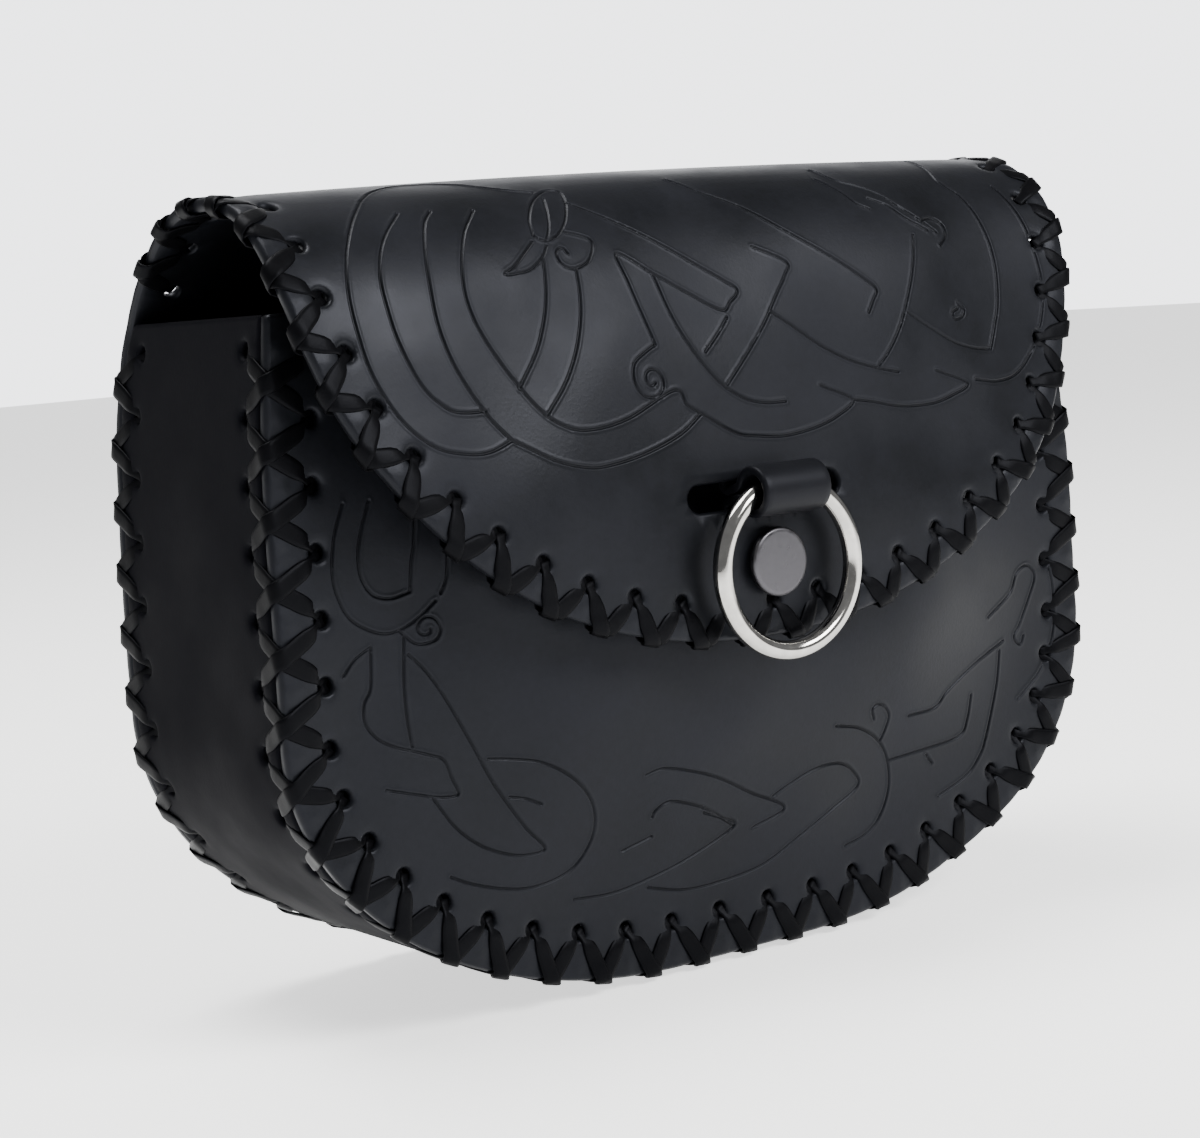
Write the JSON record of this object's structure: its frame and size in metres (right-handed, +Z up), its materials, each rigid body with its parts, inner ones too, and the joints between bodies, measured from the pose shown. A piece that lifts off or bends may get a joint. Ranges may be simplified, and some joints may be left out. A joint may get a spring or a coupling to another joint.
{
  "type": "medieval belt pouch",
  "caption": "Flap pouch of laced black leather with engraved knotwork, a ring in a leather loop above a snap, and a wide loop for a belt on the back.",
  "frame": {"origin": "centre of the bounding box in X and Y, on the surface that the pouch stands on", "axes": "+X to the right seen from the front, the flap and ring face -Y, the belt loop is at +Y, +Z up"},
  "size_m": [0.189, 0.0903, 0.1473],
  "materials": {
    "leather": "satin black",
    "lace": "matt charcoal black",
    "strap": "satin black",
    "steel": "polished nickel"
  },
  "bodies": {
    "pouch": {"back_flap_panel": "leather", "front_panel": "leather", "gusset": "leather", "belt_loop": "leather", "front_seam_lacing": "lace", "back_seam_lacing": "lace", "flap_edge_lacing": "lace", "ring_loop": "strap", "snap_cap": "steel", "snap_stud": "steel", "belt_loop_rivet_1": "steel", "belt_loop_rivet_2": "steel", "belt_loop_rivet_3": "steel", "belt_loop_rivet_4": "steel"},
    "ring": {"closure_ring": "steel"}
  },
  "joints": [
    {"name": "ring_swing", "type": "hinge", "parent": "pouch", "child": "ring", "pos_m": [0, -0.04049, 0.08851], "axis": [-1, 0, 0], "range_deg": [-2, 170]}
  ]
}
